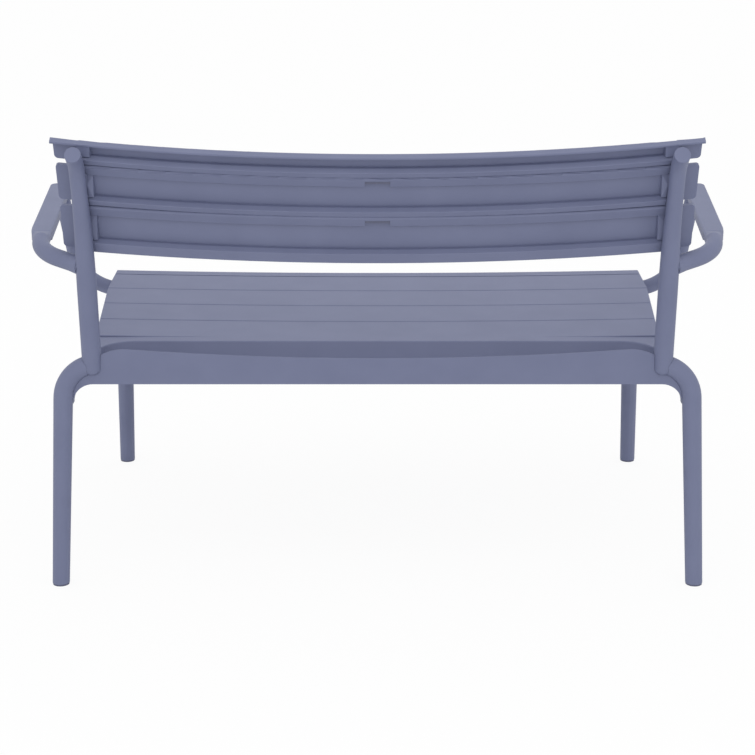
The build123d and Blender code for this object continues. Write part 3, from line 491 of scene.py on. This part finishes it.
def makeArm(v, side, tubeNode, restNode):
    flip = Vector((side, 1.0, 1.0))
    joint, start = Vector(v["joint"]) * flip, Vector(v["start"]) * flip
    rear, ahead = Vector(v["restRear"]) * flip, (Vector(v["ahead"]) * flip).normalized()
    outward = Vector((0.0, 0.0, 1.0)).cross(ahead).normalized() * side

    def soften(point):
        run = (point - rear).dot(ahead)
        out = (point - rear).dot(outward)
        if out <= 0.0 or run < -v["tubeRun"] or run > v["restRun"]:
            return point
        if run >= 0.0:
            now = v["halfWidth"]
            wanted = now - (now - v["endHalf"]) * (1.0 - run / v["restRun"]) ** 2
        else:
            share = -run / v["tubeRun"]
            now = v["halfWidth"] + (v["tubeHalf"] - v["halfWidth"]) * share
            wanted = v["endHalf"] + (v["tubeHalf"] - v["endHalf"]) * share
        return point - outward * out * (1.0 - wanted / now)

    restCuts = [(rear + ahead * v["restRun"] * (n + 1) / v["loops"], ahead) for n in range(v["loops"])]
    rest = nodeMesh(restNode, restCuts)
    for vert in rest.verts:
        vert.co = soften(vert.co)
    restyle(restNode + "_softened", restNode, rest)
    tubeCuts = [(rear - ahead * v["tubeRun"] * n / v["loops"], ahead) for n in range(1, v["loops"])]
    tube = nodeMesh(tubeNode, tubeCuts)
    for vert in tube.verts:
        reach = (vert.co - joint).dot(start)
        foot = joint + start * reach
        spread = vert.co - foot
        nearPost = reach < v["collarReach"] and (vert.co - joint).length < v["collarRange"]
        if nearPost and spread.length > v["tubeRadius"]:
            radius = v["tubeRadius"] + (spread.length - v["tubeRadius"]) * v["collarShare"]
            vert.co = foot + spread.normalized() * radius
        else:
            vert.co = soften(vert.co)
    restyle(tubeNode + "_softened", tubeNode, tube)


makeArm(armShape, 1.0, "left_rear_arm_tube", "left_arm_rest")
makeArm(armShape, -1.0, "right_rear_arm_tube", "right_arm_rest")
print("arms shaped")


def seenPlainly(tree):  # 1 for rays that show the background itself, straight, by gloss or through glass
    path = addNode(tree, "ShaderNodeLightPath", {}, {})
    direct = addNode(tree, "ShaderNodeMath", {"operation": "MAXIMUM"},
                     {0: path.outputs["Is Camera Ray"], 1: path.outputs["Is Glossy Ray"]})
    return addNode(tree, "ShaderNodeMath", {"operation": "MAXIMUM"},
                   {0: direct.outputs["Value"], 1: path.outputs["Is Transmission Ray"]})


# Floor: matt white studio paper, which the camera sees near white and which keeps the bench's shadow
studioFloor = {"size": 40.0, "colour": "#F4F4F4", "cameraWhite": 0.92}


def makeFloor(v):
    half = v["size"] / 2
    mesh = bpy.data.meshes.new("studioFloor")
    corners = [(-half, -half, 0), (half, -half, 0), (half, half, 0), (-half, half, 0)]
    mesh.from_pydata(corners, [], [(0, 1, 2, 3)])
    floor = bpy.data.objects.new("studioFloor", mesh)
    scene.collection.objects.link(floor)
    material, tree = newMaterial("mattWhitePaper")
    share = addNode(tree, "ShaderNodeMath", {"operation": "MULTIPLY"},
                    {0: seenPlainly(tree).outputs["Value"]})
    share.inputs[1].default_value = v["cameraWhite"]
    paper = addNode(tree, "ShaderNodeBsdfDiffuse", {"Color": linear(v["colour"])}, {})
    white = addNode(tree, "ShaderNodeEmission", {"Strength": 1.0}, {})  # a strength of 1 is white
    mix = addNode(tree, "ShaderNodeMixShader", {}, {"Fac": share.outputs["Value"]})
    tree.links.new(paper.outputs["BSDF"], mix.inputs[1])
    tree.links.new(white.outputs["Emission"], mix.inputs[2])
    addNode(tree, "ShaderNodeOutputMaterial", {}, {"Surface": mix.outputs["Shader"]})
    mesh.materials.append(material)


makeFloor(studioFloor)

# World: even white studio light, seen as plain white by the camera
studioWorld = {"strength": 0.96, "seenStrength": 1.0}


def makeWorld(v):
    world = bpy.data.worlds.new("studioWorld")
    scene.world = world
    world.use_nodes = True
    tree = world.node_tree
    tree.nodes.clear()
    level = addNode(tree, "ShaderNodeMapRange", {"To Min": v["strength"], "To Max": v["seenStrength"]},
                    {"Value": seenPlainly(tree).outputs["Value"]})
    sky = addNode(tree, "ShaderNodeBackground", {"Color": (1, 1, 1, 1)},
                  {"Strength": level.outputs["Result"]})
    addNode(tree, "ShaderNodeOutputWorld", {}, {"Surface": sky.outputs["Background"]})


makeWorld(studioWorld)

# Lamps: one wide soft box overhead and another behind the camera
softBoxes = [
    {"name": "overheadBox", "size": 3.0, "watts": 8.0,
     "at": (0.0, 0.3, 2.9), "towards": (0.0, 0.0, 0.3)},
    {"name": "cameraBox", "size": 2.5, "watts": 11.0,
     "at": (0.0, 3.4, 2.2), "towards": (0.0, 0.0, 0.4)},
]


def makeLamp(v):
    lamp = bpy.data.lights.new(v["name"], "AREA")
    lamp.shape = "SQUARE"
    lamp.size = v["size"]
    lamp.energy = v["watts"]
    holder = bpy.data.objects.new(v["name"], lamp)
    holder.location = v["at"]
    aim = [b - a for a, b in zip(v["at"], v["towards"])]
    flat = math.hypot(aim[0], aim[1])
    holder.rotation_euler = (math.atan2(flat, -aim[2]), 0.0, math.atan2(-aim[0], aim[1]))
    scene.collection.objects.link(holder)


for box in softBoxes:
    makeLamp(box)
print("studio ready")

# Camera: behind the bench, a little above it, pitched down
viewFromBehind = {
    "at": (0.0, 2.995, 1.1832), "pitchDown": 17.0,
    "lens": 85.0, "sensor": 36.0,  # mm
    "clipEnd": 200.0,
}


def makeCamera(v):
    lens = bpy.data.cameras.new("viewFromBehind")
    lens.lens = v["lens"]
    lens.sensor_width = v["sensor"]
    lens.clip_end = v["clipEnd"]
    holder = bpy.data.objects.new("viewFromBehind", lens)
    holder.location = v["at"]
    holder.rotation_euler = (math.radians(90.0 - v["pitchDown"]), 0.0, math.pi)
    scene.collection.objects.link(holder)
    scene.camera = holder


makeCamera(viewFromBehind)

print("bench dressed")
